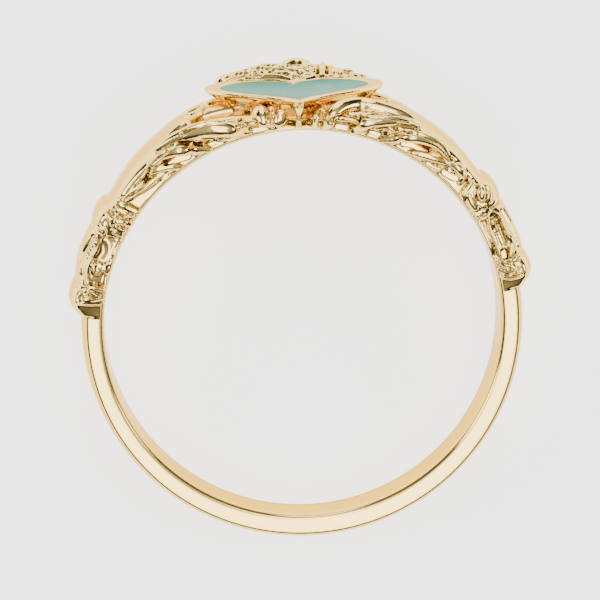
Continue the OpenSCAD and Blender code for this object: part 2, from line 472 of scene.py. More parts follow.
def goldMaterial(name, look):
    mat = bpy.data.materials.new(name)
    mat.use_nodes = True
    nodes, links = mat.node_tree.nodes, mat.node_tree.links
    shader = nodes["Principled BSDF"]
    shader.inputs["Metallic"].default_value = 1.0
    shader.inputs["Specular Tint"].default_value = (*look["edge"], 1)
    place = nodes.new("ShaderNodeTexCoord")
    crevice = nodes.new("ShaderNodeAttribute")
    crevice.attribute_name = "crevice"
    # painted shade: the deeper a place lies, the more the gold turns dark brown there
    deep = nodes.new("ShaderNodeMapRange")
    deep.interpolation_type = "SMOOTHSTEP"
    deep.inputs["From Min"].default_value = 0.12
    deep.inputs["From Max"].default_value = 0.95
    links.new(crevice.outputs["Fac"], deep.inputs["Value"])
    # painted highlight: the gold turns paler on ridges and edges that stand out
    ridgeHighlight = nodes.new("ShaderNodeMapRange")
    ridgeHighlight.inputs["From Min"].default_value = 0.0
    ridgeHighlight.inputs["From Max"].default_value = -0.8
    links.new(crevice.outputs["Fac"], ridgeHighlight.inputs["Value"])
    cloud = nodes.new("ShaderNodeTexNoise")
    cloud.inputs["Scale"].default_value = look["wearScale"]
    cloud.inputs["Detail"].default_value = 4.0
    links.new(place.outputs["Object"], cloud.inputs["Vector"])
    face = nodes.new("ShaderNodeMix")
    face.data_type = "RGBA"
    face.inputs["A"].default_value = (*look["face"], 1)
    face.inputs["B"].default_value = (*look["high"], 1)
    links.new(ridgeHighlight.outputs["Result"], face.inputs["Factor"])
    # painted shade: mixes the dark colour into the gold in hollows
    colour = nodes.new("ShaderNodeMix")
    colour.data_type = "RGBA"
    colour.inputs["B"].default_value = (*look["deep"], 1)
    links.new(face.outputs["Result"], colour.inputs["A"])
    links.new(deep.outputs["Result"], colour.inputs["Factor"])
    links.new(colour.outputs["Result"], shader.inputs["Base Color"])
    wear = nodes.new("ShaderNodeMapRange")
    wear.inputs["To Min"].default_value = look["roughness"] * 0.75
    wear.inputs["To Max"].default_value = look["roughness"] * 1.3
    links.new(cloud.outputs["Fac"], wear.inputs["Value"])
    dull = nodes.new("ShaderNodeMix")
    dull.data_type = "FLOAT"
    dull.inputs["B"].default_value = look["deepRoughness"]
    links.new(wear.outputs["Result"], dull.inputs["A"])
    links.new(deep.outputs["Result"], dull.inputs["Factor"])
    links.new(dull.outputs["Result"], shader.inputs["Roughness"])
    fine = nodes.new("ShaderNodeTexNoise")
    fine.inputs["Scale"].default_value = look["wearScale"] * 5
    fine.inputs["Detail"].default_value = 3.0
    links.new(place.outputs["Object"], fine.inputs["Vector"])
    bump = nodes.new("ShaderNodeBump")
    bump.inputs["Strength"].default_value = look["bump"]
    bump.inputs["Distance"].default_value = 0.00005
    links.new(fine.outputs["Fac"], bump.inputs["Height"])
    links.new(bump.outputs["Normal"], shader.inputs["Normal"])
    return mat


gold = goldMaterial("polishedGold", goldLook)
grainNodes = grainTree()


def bandHalf(angle):
    share = (1 + math.cos(rad(angle))) / 2
    return mix(ringSizes["backWidth"], ringSizes["headWidth"], share) / 2


# Shank: one band all the way round, flat at its sides, domed outside, with a bevelled inner lip
shankSizes = {
    "lip": 0.11, "edge": 0.05, "backThick": 1.1, "sideThick": 1.0, "stations": 300, "domeSteps": 14,
}


def shankSection(angle):
    s = shankSizes
    half = bandHalf(angle)
    bore = ringSizes["bore"]
    back = (1 - math.cos(rad(angle))) / 2
    top = bore + mix(s["sideThick"], s["backThick"], max(0, 2 * back - 1) ** 1.5)
    shoulder = top - ringSizes["dome"]
    lip, edge = s["lip"], s["edge"]
    side = [(bore, 0), (bore, half * 0.5), (bore, half - lip - 0.02), (bore + 0.01, half - lip),
            (bore + lip - 0.015, half - 0.012), (bore + lip + 0.01, half),
            (shoulder - edge, half), (shoulder - edge * 0.3, half - edge * 0.12)]
    profile = list(side)
    for k in range(s["domeSteps"] + 1):
        w = k / s["domeSteps"]
        z = (half - edge * 0.45) * (1 - w)
        profile.append((shoulder + 0.02 + (top - shoulder - 0.02) * (1 - (z / half) ** 2) ** 0.8, z))
    other = [(r, -z) for r, z in reversed(profile[1:-1])]
    # beside the keel the near side falls away under the cup
    fall = 1.1 * (1 - smoothShare(min(angle, 360 - angle), 6, 12))
    foot = bore + lip + 0.01
    near = [(r, z - fall * max(0, r - foot) / (shoulder - foot)) if z > half * 0.4 else (r, z) for r, z in profile]
    return [at(angle, r, z) for r, z in near + other]


def makeShank():
    n = shankSizes["stations"]
    points, faces = loft([shankSection(360.0 * (n - k) / n) for k in range(n)], closed=True)
    obj = meshObject("shank", points, faces)
    # painted shade: the crevice attribute marks a dark line along the foot of each inner lip bevel
    crevice = obj.data.attributes.new("crevice", "FLOAT", "POINT")
    width = len(shankSection(0))
    deep = np.zeros(len(points))
    for k in (3, width - 3):
        deep[k::width] = 0.45
    crevice.data.foreach_set("value", deep)
    obj.data.vertices.foreach_set("co", lie(points).ravel())
    bevel = obj.data
    bevel.polygons.foreach_set("use_smooth", [True] * len(bevel.polygons))
    bevel.update()
    return obj


# Shoulders. Rows run from the shank to the heart.
# columns: angle from the head, half width, side height, top height, all over the finger hole in mm
shoulderRows = [
    (84.2, 1.42, 0.55, 0.92), (83.6, 1.46, 0.64, 1.02), (83.2, 1.62, 0.72, 1.12), (82.2, 1.70, 0.86, 1.30),
    (81, 1.78, 0.98, 1.50), (79.5, 1.85, 1.03, 1.62),
    (77.5, 1.85, 1.02, 1.60), (76, 1.79, 0.94, 1.50), (75, 1.72, 0.86, 1.38), (74, 1.76, 0.88, 1.42),
    (68, 1.79, 0.90, 1.46), (62, 1.79, 0.90, 1.46), (61, 1.74, 0.86, 1.40), (60, 1.92, 1.00, 1.58),
    (58, 2.02, 1.08, 1.68), (56, 2.02, 1.08, 1.68), (54.5, 1.95, 1.02, 1.60), (53.4, 1.78, 0.88, 1.42),
    (52, 1.80, 0.90, 1.44), (48, 1.88, 0.96, 1.52), (44, 1.98, 0.98, 1.60), (38, 2.12, 0.96, 1.66),
    (32, 2.26, 0.90, 1.68), (26, 2.36, 0.84, 1.64), (20, 2.40, 0.74, 1.52), (14, 2.34, 0.64, 1.30),
    (8, 2.20, 0.52, 1.05), (5, 2.10, 0.45, 0.90),
]
shoulderSizes = {
    "step": 0.5, "root": 0.14, "rootInset": -0.03, "squareness": 0.8, "voxel": 0.05,
    "windowDepth": 0.95, "windowEnd": 30.0, "fingerRecess": 0.32,
}


def shoulderAt(angle, column):
    rows = sorted(shoulderRows)
    return float(np.interp(angle, [r[0] for r in rows], [r[column] for r in rows]))


def shoulderSection(side, a):
    s = shoulderSizes
    half, sideH, topH = (shoulderAt(a, c) for c in (1, 2, 3))
    root = bandHalf(a) - s["rootInset"]
    window = s["windowDepth"] * smoothShare(s["windowEnd"] - a, 0, 9) * smoothShare(a, 3, 9)
    outline = []
    for k in range(-24, 25):
        u = 90 * k / 24
        z = half * math.copysign(abs(math.sin(rad(u))) ** s["squareness"], u)
        h = sideH + (topH - sideH) * math.cos(rad(u)) ** s["squareness"]
        # the hollow between thumb and fingers beside the heart
        h -= window * math.exp(-((z - 0.25) / 0.85) ** 2)
        h = max(h, 0.3)
        # the flank below the hand's back lies deeper, and the fingers stand on it
        outline.append((z, h))
    near, far = [], []
    recess = s["fingerRecess"] * smoothShare(52.5 - a, 0, 4)
    for k in range(1, 9):
        w = k / 8
        z = mix(half, root, w ** 1.2)
        deep = max(root, z - recess * math.sin(math.pi * min(1, w * 1.1)) ** 0.8)
        near.append((deep, mix(sideH, s["root"], w)))
        far.insert(0, (-z, mix(sideH, s["root"], w)))
    return [at(side * a, ringSizes["bore"] + h, z) for z, h in far + outline + near]


def shoulderBase(side):
    low, high = shoulderRows[-1][0], shoulderRows[0][0]
    angles = np.arange(low, high + 0.01, shoulderSizes["step"])
    sections = [shoulderSection(side, a) for a in (angles if side < 0 else angles[::-1])]
    return loft(sections)


# Relief, placed where it shows in the picture. Each path runs through (across, down, radius in mm);
# lift is how far its middle lies out of the surface, as a share of its radius.
leftBars = {
    "fingers": [
        {"path": [(170, 137, 0.16), (186, 127, 0.28), (207, 118, 0.34), (229, 113, 0.38), (248, 112, 0.43),
                  (259, 114, 0.43), (263, 121, 0.34)], "lift": 0.2},
        {"path": [(262, 106, 0.2), (271, 107, 0.36), (279, 112, 0.44), (281, 118, 0.42), (279, 125, 0.28)],
         "lift": 0.0},
        {"path": [(267, 106, 0.10), (272.5, 111, 0.13), (274, 118, 0.13), (272.5, 126, 0.10)], "lift": 2.0},
        {"path": [(158, 149, 0.16), (176, 139, 0.28), (196, 132, 0.36), (216, 129, 0.38), (234, 130, 0.3),
                  (247, 132.5, 0.14)], "lift": 0.1},
        {"path": [(200, 124, 0.08), (216, 123, 0.10), (232, 125, 0.10), (244, 129, 0.08)], "lift": 0.6},
        {"path": [(241, 119.5, 0.07), (245, 125, 0.08), (249, 132.5, 0.08)], "lift": 1.3},
        {"path": [(150, 166, 0.12), (162, 156, 0.20), (178, 150, 0.27), (195, 148, 0.26), (209, 149.5, 0.13)],
         "lift": 0.25},
        {"path": [(150, 172, 0.12), (160, 168, 0.18), (171, 166, 0.18), (181, 167, 0.10)], "lift": 0.25},
        {"path": [(125, 199, 0.14), (137, 190.5, 0.18), (149, 183, 0.18), (161, 175, 0.14), (172, 168.5, 0.08)],
         "lift": 0.2},
        {"path": [(219, 138, 0.10), (228, 136.5, 0.14), (237, 135.5, 0.10)], "lift": 0.4},
    ],
    "cuff": [
        {"path": [(118.5, 203.5, 0.13), (127, 207, 0.16), (137, 211.5, 0.15)], "lift": 0.5, "flat": 0.8},
        {"path": [(117.5, 209, 0.09), (125, 213, 0.10), (132.5, 217.5, 0.09)], "lift": 0.5},
        {"path": [(120, 198.5, 0.09), (122, 200, 0.09)], "lift": 0.4},
        {"path": [(117, 221, 0.16), (123, 221.5, 0.2), (129, 224, 0.16)], "lift": 0.2},
        {"path": [(115.5, 226.5, 0.08), (120, 229.5, 0.09), (126, 232, 0.08)], "lift": 0.6},
        {"path": [(113.5, 231, 0.08), (118, 233.5, 0.09), (123, 236.5, 0.08)], "lift": 0.6},
        {"path": [(108, 210, 0.08), (108.5, 217, 0.09), (112, 223.5, 0.08)], "lift": 0.6},
        {"path": [(110, 209.5, 0.07), (115, 213.5, 0.09)], "lift": 0.6},
        {"path": [(111, 219.5, 0.07), (117, 215, 0.08)], "lift": 0.5},
    ],
    "sleeve": [
        {"path": [(99, 224, 0.09), (88, 244, 0.11), (79, 262, 0.11), (75, 273, 0.09)], "lift": 0.3},
        {"path": [(105, 230, 0.07), (99.5, 243, 0.08), (92, 257, 0.08), (87.5, 268, 0.08), (86.5, 279, 0.08),
                  (90, 287, 0.08)], "lift": 0.6},
        {"path": [(121, 240, 0.09), (115, 253, 0.09), (110.5, 264, 0.09), (107.5, 276, 0.09), (105.5, 289, 0.08)],
         "lift": 0.4},
        {"path": [(101.5, 266, 0.09), (98, 262, 0.08), (94, 264.5, 0.09), (93.5, 270.5, 0.1), (97.5, 272.5, 0.1),
                  (100.5, 269.5, 0.09)], "lift": 0.5, "steps": 5},
        {"path": [(110.5, 263, 0.09), (106, 264, 0.09), (104, 268, 0.1), (107, 272.5, 0.1), (110, 272, 0.09)],
         "lift": 0.5, "steps": 5},
        {"path": [(90, 286.5, 0.11), (97, 288, 0.13), (104.5, 290.5, 0.1)], "lift": 0.5},
        {"path": [(86.5, 290.5, 0.09), (91, 294, 0.1), (97, 296.5, 0.08)], "lift": 0.5},
        {"path": [(84.5, 299, 0.12), (93, 298.5, 0.14), (103.5, 297, 0.11)], "lift": 0.4},
        {"path": [(80, 302.5, 0.08), (92, 303, 0.09), (104, 302.5, 0.08)], "lift": 0.5},
    ],
}
leftBeads = [  # across, down, half lengths across, along and out in mm
    (118, 212.8, 0.10, 0.10, 0.12), (111, 224, 0.09, 0.09, 0.10), (97.3, 268.5, 0.12, 0.12, 0.14),
    (107.5, 268.5, 0.10, 0.10, 0.12), (84.5, 297.5, 0.10, 0.10, 0.12), (121, 222, 0.16, 0.2, 0.14),
]
leftGrooves = [
    {"path": [(124, 199), (137, 191), (144, 184), (147.5, 174), (150, 168), (157, 160), (165, 151.5)],
     "width": 0.11, "depth": 0.12},
    {"path": [(165, 151.5), (175, 145.5), (188, 143), (202, 144.5)], "width": 0.12, "depth": 0.14},
    {"path": [(182, 133.5), (199, 125.5), (213, 121.8), (229, 120.5), (242, 120)], "width": 0.13, "depth": 0.16},
    {"path": [(204, 139.5), (211, 138), (219, 137.5)], "width": 0.14, "depth": 0.16},
    {"path": [(166, 163.5), (174, 161), (183, 158), (191, 155.5)], "width": 0.14, "depth": 0.16},
    {"path": [(157, 181), (163, 177.5), (167, 175)], "width": 0.1, "depth": 0.12},
    {"path": [(266.5, 110), (269, 117), (268, 126)], "width": 0.08, "depth": 0.10},
    {"path": [(291, 112), (292, 119), (290, 125)], "width": 0.14, "depth": 0.12},
    {"path": [(76, 287), (81, 292)], "width": 0.07, "depth": 0.06},
    {"path": [(83, 290), (79, 295)], "width": 0.07, "depth": 0.06},
    {"path": [(101, 241), (103, 251), (98, 259)], "width": 0.3, "depth": 0.1},
    {"path": [(110, 238), (118, 241)], "width": 0.1, "depth": 0.1},
    {"path": [(97.5, 262)], "width": 0.1, "depth": 0.12},
    {"path": [(112, 257)], "width": 0.09, "depth": 0.1},
    {"path": [(99.5, 285)], "width": 0.1, "depth": 0.1},
    {"path": [(91, 284)], "width": 0.14, "depth": 0.14},
    {"path": [(124.2, 224)], "width": 0.07, "depth": 0.08},
    {"path": [(88, 295), (99, 297)], "width": 0.07, "depth": 0.08},
]
rightBars = {
    "fingers": [
        {"path": [(416, 124, 0.14), (403, 117, 0.24), (384, 111.5, 0.30), (367, 108.2, 0.33), (352, 108, 0.35),
                  (340, 111.5, 0.34), (331, 118, 0.30), (326.5, 125, 0.22)], "lift": 0.35},
        {"path": [(333, 106, 0.10), (324, 109.5, 0.14), (317.5, 116, 0.15), (314.5, 124, 0.12)], "lift": 0.5},
        {"path": [(318, 106.5, 0.14), (311.5, 110, 0.22), (308, 116, 0.24), (307, 123, 0.18)], "lift": 0.2},
        {"path": [(418, 127, 0.12), (405, 122.5, 0.20), (390, 121.5, 0.24), (375, 122, 0.26), (363, 123.5, 0.27),
                  (356, 127.5, 0.24), (353, 131, 0.16)], "lift": 0.3},
        {"path": [(398, 117.5, 0.07), (382, 116, 0.10), (368, 115.5, 0.10), (358, 117.5, 0.08)], "lift": 0.5},
        {"path": [(449, 158, 0.10), (438, 145.5, 0.22), (422, 138.5, 0.26), (406, 136, 0.26), (392, 138.2, 0.22),
                  (380, 140, 0.12)], "lift": 0.3},
        {"path": [(413, 131, 0.07), (398, 130.5, 0.08), (384, 133, 0.08)], "lift": 0.4},
        {"path": [(448, 163, 0.12), (436, 158.5, 0.20), (423, 154.5, 0.20), (411, 152.5, 0.12)], "lift": 0.25},
        {"path": [(452, 163, 0.14), (459, 168, 0.20), (463, 175, 0.18), (460, 181, 0.12)], "lift": 0.3},
        {"path": [(426, 163, 0.07), (436, 168, 0.10), (444, 170, 0.10)], "lift": 0.3},
        {"path": [(365, 131, 0.10), (357, 131.5, 0.12), (351, 129, 0.08)], "lift": 0.3},
    ],
    "cuff": [
        {"path": [(471.5, 182, 0.10), (466, 190, 0.11), (460.5, 198.5, 0.10)], "lift": 0.5},
        {"path": [(475.5, 186, 0.08), (469.5, 193, 0.09), (464, 201, 0.08)], "lift": 0.5},
        {"path": [(477, 190, 0.06), (474.5, 197, 0.07), (479, 203.5, 0.07), (485, 206, 0.06)], "lift": 0.4},
        {"path": [(480, 184.5, 0.06), (487.5, 187, 0.07), (491.5, 194, 0.07), (490.5, 202, 0.06)], "lift": 0.4},
        {"path": [(469.5, 196, 0.16), (472, 202, 0.18), (475, 207.5, 0.16)], "lift": 0.3, "flat": 0.8},
        {"path": [(467, 210.5, 0.07), (473, 213.5, 0.08), (480, 214.5, 0.07)], "lift": 0.6},
        {"path": [(472, 218, 0.07), (479, 219.5, 0.08), (486, 217, 0.07)], "lift": 0.5},
    ],
    "sleeve": [
        {"path": [(490, 213, 0.07), (489.5, 223, 0.08), (492.5, 234, 0.08), (498, 247, 0.08), (503.5, 260, 0.08)],
         "lift": 0.6},
        {"path": [(491, 211, 0.07), (499, 215.5, 0.08), (504, 227, 0.08), (512, 239, 0.08), (513, 247, 0.08),
                  (509, 259, 0.08)], "lift": 0.6},
        {"path": [(479, 222, 0.10), (486, 235, 0.12), (491.5, 248, 0.12), (496, 260, 0.10)], "lift": 0.35},
        {"path": [(500, 203, 0.06), (509, 219, 0.07), (518, 237, 0.07), (521, 252, 0.06)], "lift": 0.4},
        {"path": [(505, 207, 0.06), (515, 224, 0.07), (523, 242, 0.07), (525, 255, 0.06)], "lift": 0.4},
        {"path": [(498, 264, 0.09), (506, 266.5, 0.10), (513, 266, 0.09)], "lift": 0.5},
        {"path": [(499, 269.5, 0.09), (508, 272, 0.10), (517, 268.5, 0.09)], "lift": 0.5},
        {"path": [(500, 275.5, 0.09), (511, 277, 0.10), (521, 274.5, 0.09)], "lift": 0.4},
        {"path": [(511, 262, 0.07), (517, 258.5, 0.08), (521, 256, 0.07)], "lift": 0.5},
    ],
}
rightBeads = [
    (481.8, 193.5, 0.21, 0.38, 0.24), (472, 192, 0.09, 0.09, 0.10), (469, 211, 0.07, 0.07, 0.09),
    (475, 213.5, 0.07, 0.07, 0.09), (480.5, 214, 0.07, 0.07, 0.09), (457, 172, 0.22, 0.26, 0.16),
]
rightGrooves = [
    {"path": [(333, 121), (341, 118.5), (350, 118), (357, 119.5)], "width": 0.24, "depth": 0.34},
    {"path": [(357, 116.5), (370, 117.5), (384, 117.5), (398, 119.5), (410, 122)], "width": 0.09, "depth": 0.10},
    {"path": [(374, 128), (388, 128.5), (402, 130.5), (419, 134)], "width": 0.12, "depth": 0.15},
    {"path": [(402, 143.5), (412, 145), (420, 148.5), (427, 150)], "width": 0.13, "depth": 0.16},
    {"path": [(420, 134), (437, 142), (446, 150), (452, 160)], "width": 0.11, "depth": 0.12},
    {"path": [(443, 172), (450, 176), (457, 179)], "width": 0.13, "depth": 0.14},
    {"path": [(313.4, 112), (310.5, 123)], "width": 0.08, "depth": 0.10},
    {"path": [(320, 112), (316, 121)], "width": 0.06, "depth": 0.06},
    {"path": [(484, 208.5)], "width": 0.16, "depth": 0.16},
    {"path": [(504.5, 252), (504.5, 258)], "width": 0.2, "depth": 0.2},
    {"path": [(495, 216), (500, 230), (505, 243)], "width": 0.3, "depth": 0.14},
    {"path": [(502, 263), (510, 269)], "width": 0.08, "depth": 0.1},
    {"path": [(477.3, 186), (475.5, 194), (478.5, 201)], "width": 0.06, "depth": 0.08},
]
# Grains: where rows of them run, and how big they are in mm
leftGrains = [
    {"rows": [[(101, 228.5), (93, 243), (85, 258), (79, 268)], [(103, 230), (95.5, 245), (87.5, 259), (82.5, 269)]],
     "sizes": {"Spacing": 0.17, "Length": 0.2, "Width": 0.09, "Height": 0.16, "Lean": 0.9, "Jitter": 0.12,
               "Seed": 3}},
    {"rows": [[(184, 119.5), (194, 113), (205, 106.5)], [(188, 119), (198, 114.5), (208, 109)]],
     "sizes": {"Spacing": 0.16, "Length": 0.16, "Width": 0.14, "Height": 0.2, "Lean": 0.3, "Jitter": 0.35,
               "Seed": 5}},
]
rightGrains = [
    {"rows": [[(494, 217), (497, 228), (501, 240), (505, 246)], [(497, 216), (501, 228), (506, 240), (509, 246)],
              [(491.5, 218), (493.5, 230), (497.5, 241), (501, 247)]],
     "sizes": {"Spacing": 0.15, "Length": 0.18, "Width": 0.08, "Height": 0.14, "Lean": -0.7, "Jitter": 0.2,
               "Seed": 4}},
    {"rows": [[(382, 99.5), (393, 105), (404, 112)], [(378, 103), (389, 108), (400, 113)],
              [(344, 100.5), (353, 99.5), (361, 100)]],
     "sizes": {"Spacing": 0.14, "Length": 0.15, "Width": 0.13, "Height": 0.2, "Lean": 0.3, "Jitter": 0.4,
               "Seed": 6}},
    {"rows": [[(502, 205), (511, 220), (519, 236), (522, 250)], [(507, 209), (516, 226), (523, 242)]],
     "sizes": {"Spacing": 0.13, "Length": 0.16, "Width": 0.07, "Height": 0.1, "Lean": 1.1, "Jitter": 0.2,
               "Seed": 7}},
]
laceSizes = {
    "rows": 7, "reach": 1.25, "from": 62.5, "to": 73.5,
    "grain": {"Spacing": 0.24, "Length": 0.3, "Width": 0.1, "Height": 0.14, "Lean": 0.8, "Jitter": 0.1, "Seed": 2},
}
# The thumb lies on the crown's side of the hand. columns: angle from the head, height, z, radius in mm
thumbRows = [(48, 0.75, -1.2, 0.35), (42, 0.95, -1.3, 0.44), (35, 1.10, -1.4, 0.46), (28, 1.22, -1.5, 0.44),
             (21, 1.24, -1.65, 0.42), (15, 1.12, -1.85, 0.38), (11, 0.95, -2.0, 0.30)]


def makeShoulder(name, side, bars, beads, grooves, grainRows):
    base = shoulderBase(side)
    spotAt = surfaceOf(*base)
    parts = [base]
    for group, rows in bars.items():
        made = [stroke(spotAt, row) for row in rows]
        parts += made
        if group != "fingers":
            parts += [mirroredZ(part) for part in made]
    for b in beads:
        spot, up = spotAt(b[0], b[1])
        part = ball(spot, up, b[2:])
        parts.append(part)
        if abs(math.degrees(math.atan2(spot[0], spot[1]))) > 52:
            parts.append(mirroredZ(part))
    for row in grainRows:
        parts.append(grains([pictureRow(spotAt, path) for path in row["rows"]], row["sizes"], gold))
    # thumb
    thumb = spline([(side * a, h, z, r) for a, h, z, r in thumbRows], 8)
    path = [at(a, ringSizes["bore"] + h, z) for a, h, z, _ in thumb]
    ups = [at(a, 1, 0) for a, _, _, _ in thumb]
    parts.append(rope(path, thumb[:, 3], ups))
    # lace across the outer face of the sleeve
    s = laceSizes
    rows = []
    for k in range(s["rows"]):
        z = s["reach"] * (2 * k / (s["rows"] - 1) - 1)
        row = []
        for a in np.linspace(s["from"], s["to"], 12):
            half, sideH, topH = (shoulderAt(a, c) for c in (1, 2, 3))
            u = math.asin(min(1, (abs(z) / half) ** (1 / shoulderSizes["squareness"])))
            h = sideH + (topH - sideH) * math.cos(u) ** shoulderSizes["squareness"]
            row.append((at(side * a, ringSizes["bore"] + h, z), at(side * a, 1, 0) + np.array([0, 0, z * 0.2])))
        rows.append(row)
    parts.append(grains(rows, s["grain"], gold))
    obj = fused(name, parts, shoulderSizes["voxel"])
    finishSkin(obj, grooves)
    print("ring:", name, len(obj.data.polygons), "faces")
    return obj


# Head: the cup with its plain rim and keel, and the crown behind it
headSizes = {
    "stoneWide": 6.36, "stoneLong": 5.8, "stoneThick": 0.95, "rim": 0.5, "sideRim": 0.74, "rimHigh": 1.5, "gap": 0.02,
    "crownHigh": 1.95, "crownLong": 2.3, "crownWide": 6.8, "notch": 0.55, "bead": 0.34, "voxel": 0.053,
    "keelWide": 0.2, "steps": 120,
}
# The cup from the finger hole up to its rim and down into its seat
# columns: share of the rim's height, share of the outline
cupRows = [(0.16, 0.40), (0.24, 0.46), (0.35, 0.54), (0.5, 0.68), (0.64, 0.82), (0.78, 0.93), (0.88, 0.985),
           (0.95, 1.0), (0.985, 0.992), (1.0, 0.975)]


def heartCurve(width, length, steps):
    t = np.linspace(0, 2 * math.pi, steps, endpoint=False)
    x = np.sin(t) ** 3 / 2 * width
    z = -(13 * np.cos(t) - 5 * np.cos(2 * t) - 2 * np.cos(3 * t) - np.cos(4 * t) + 2.5) / 29 * length
    return x, z


def cupParts():
    h = headSizes
    wide, long = h["stoneWide"] + 2 * h["sideRim"], h["stoneLong"] + 2.2 * h["rim"]
    bore = ringSizes["bore"]
    sections = []
    for high, share in cupRows:
        x, z = heartCurve(wide * share, long * share, h["steps"])
        sections.append(np.stack([x, np.full_like(x, bore + h["rimHigh"] * high), z], 1))
    top = bore + h["rimHigh"]
    for grow, y in ((0.09, top), (0.03, top - 0.015), (h["gap"], top - 0.06), (h["gap"], top - h["stoneThick"] - 0.02)):
        x, z = heartCurve(h["stoneWide"] + 2 * grow, h["stoneLong"] + 2.2 * grow, h["steps"])
        sections.append(np.stack([x, np.full_like(x, y), z], 1))
    return loft(sections)


def crownBase():
    h = headSizes
    bore = ringSizes["bore"]
    crownR = bore + h["crownHigh"]
    back = -(h["stoneLong"] + 2.2 * h["rim"]) / 2
    tip = back - h["crownLong"]
    tipAngle = math.degrees(math.asin(0.38 * h["crownWide"] / crownR))
    edge = 1.32 * tipAngle
    pitch = tipAngle / 2
    low = bore + 0.58 * h["crownHigh"]
    sections = []
    for k in range(97):
        a = edge * (1 - 2 * k / 96)
        notch = h["notch"] * (1 - abs(math.cos(math.pi * a / pitch)))
        zTip = min(-1, tip + notch + 0.9 * max(0, abs(a) - tipAngle) / 4)
        top = crownR - 0.25 * (a / edge) ** 2
        sections.append([
            at(a, bore + 0.37, -0.3), at(a, bore + 0.37, 0.16 - h["crownWide"] / 4),
            at(a, bore + 0.34 * h["crownHigh"], mix(-1.85, zTip, 0.5)), at(a, low, zTip),
            at(a, (low + top) / 2 - 0.1, zTip - 0.02),
            at(a, top - 0.16 * h["crownHigh"], zTip + 0.05), at(a, top - 0.04 * h["crownHigh"], zTip + 0.3),
            at(a, top, zTip + 0.7), at(a, top, back - 0.45), at(a, top - 0.05, back - 0.2),
            at(a, top - 0.25, back + 0.05), at(a, bore + 0.5 * h["crownHigh"], -0.3),
        ])
    beads = [ball(at(k * pitch, crownR - 0.2 * h["crownHigh"], tip + h["bead"]), (0, 1, 0), (h["bead"],) * 3)
             for k in (-2, -1, 0, 1, 2)]
    return loft(sections[::-1]), beads


# All of the crown's relief lies on the crown: a place beside it in the picture goes to its nearest edge
crownSurface = {"plane": -4.6, "reach": 100.0}
crownBars = [
    {"path": [(246, 78.5, 0.09), (262, 77.5, 0.12), (278, 77.5, 0.12), (292, 80, 0.08)], "lift": 0.4},
    {"path": [(305, 79.5, 0.07), (318, 77, 0.10), (334, 77.5, 0.10), (346, 79, 0.07)], "lift": 0.4},
    {"path": [(280, 67, 0.14), (287, 65, 0.26), (296, 64, 0.32), (305, 65, 0.28), (312, 67.5, 0.14)], "lift": -0.1},
    {"path": [(210, 93, 0.26), (213, 87, 0.34), (219, 82, 0.34), (227, 77, 0.26)], "lift": -0.1},
    {"path": [(382, 90, 0.2), (380.5, 84, 0.3), (375, 76, 0.32), (366, 70, 0.24)], "lift": -0.2},
    {"path": [(278, 69, 0.12), (286, 70, 0.17), (296, 73, 0.12)], "lift": 0.4},
    {"path": [(279, 74, 0.10), (288, 75.5, 0.15), (298, 77, 0.10)], "lift": 0.4},
    {"path": [(292, 68, 0.10), (300, 70.5, 0.15), (308, 73, 0.10)], "lift": 0.4},
    {"path": [(301, 67.5, 0.07), (310, 69.5, 0.09), (319, 70, 0.07)], "lift": 0.5},
    {"path": [(300, 71, 0.07), (310, 72.5, 0.09), (319, 73, 0.07)], "lift": 0.5},
    {"path": [(303, 75, 0.06), (311, 75.5, 0.08), (319, 76, 0.06)], "lift": 0.5},
    {"path": [(323, 63.5, 0.12), (322, 69, 0.14), (321.5, 76, 0.12)], "lift": 0.6},
    {"path": [(357, 69, 0.10), (360, 74, 0.17), (366, 80, 0.19), (370, 84, 0.12)], "lift": 0.4},
    {"path": [(371, 77, 0.07), (376, 80, 0.08), (379, 84, 0.08), (376, 86, 0.07), (372, 82, 0.07)], "lift": 0.5,
     "steps": 5},
    {"path": [(345, 66, 0.10), (351, 71, 0.14), (356, 77, 0.11)], "lift": 0.4},
    {"path": [(328, 66, 0.09), (333, 70, 0.12), (336, 75, 0.09)], "lift": 0.4},
    {"path": [(214, 89, 0.10), (219, 86.5, 0.13), (225, 84.5, 0.10)], "lift": 0.4},
]
crownBeads = [
    (332.5, 67.5, 0.13, 0.13, 0.14), (340.5, 74, 0.15, 0.15, 0.16), (346.8, 70.5, 0.13, 0.13, 0.14),
    (339, 67, 0.12, 0.12, 0.12), (350, 77, 0.12, 0.12, 0.14), (330, 75, 0.11, 0.11, 0.13),
    (282, 71, 0.13, 0.13, 0.15), (290, 78, 0.12, 0.12, 0.12), (298, 79, 0.1, 0.1, 0.12),
]
crownGrains = [
    {"rows": [[(221, 82), (232, 76.5), (247, 74), (262, 73.5), (275, 74)], [(221, 78), (232, 72.5), (247, 70), (262, 69),
              (275, 70)], [(222, 75), (232, 70), (248, 67), (262, 66.5), (275, 66.5)]],
     "sizes": {"Spacing": 0.3, "Length": 0.46, "Width": 0.2, "Height": 0.34, "Lean": 0.75, "Jitter": 0.1,
               "Seed": 8}},
    {"rows": [[(328, 71), (338, 70.5), (350, 73), (354, 78)], [(328, 67), (340, 65.5), (352, 66)]],
     "sizes": {"Spacing": 0.3, "Length": 0.26, "Width": 0.2, "Height": 0.22, "Lean": 0.4, "Jitter": 0.35,
               "Seed": 9}},
]
crownGrooves = [
    {"path": [(318, 64), (317.5, 76)], "width": 0.08, "depth": 0.1},
    {"path": [(327, 64), (326.5, 76)], "width": 0.08, "depth": 0.1},
    {"path": [(363, 76)], "width": 0.12, "depth": 0.14},
    {"path": [(299.5, 77.5)], "width": 0.12, "depth": 0.14},
    {"path": [(279, 66), (284, 66.5), (292, 65.5), (302, 66.5), (312, 67)], "width": 0.09, "depth": 0.1},
    {"path": [(230, 80.5), (245, 76), (262, 75.5)], "width": 0.08, "depth": 0.08},
]


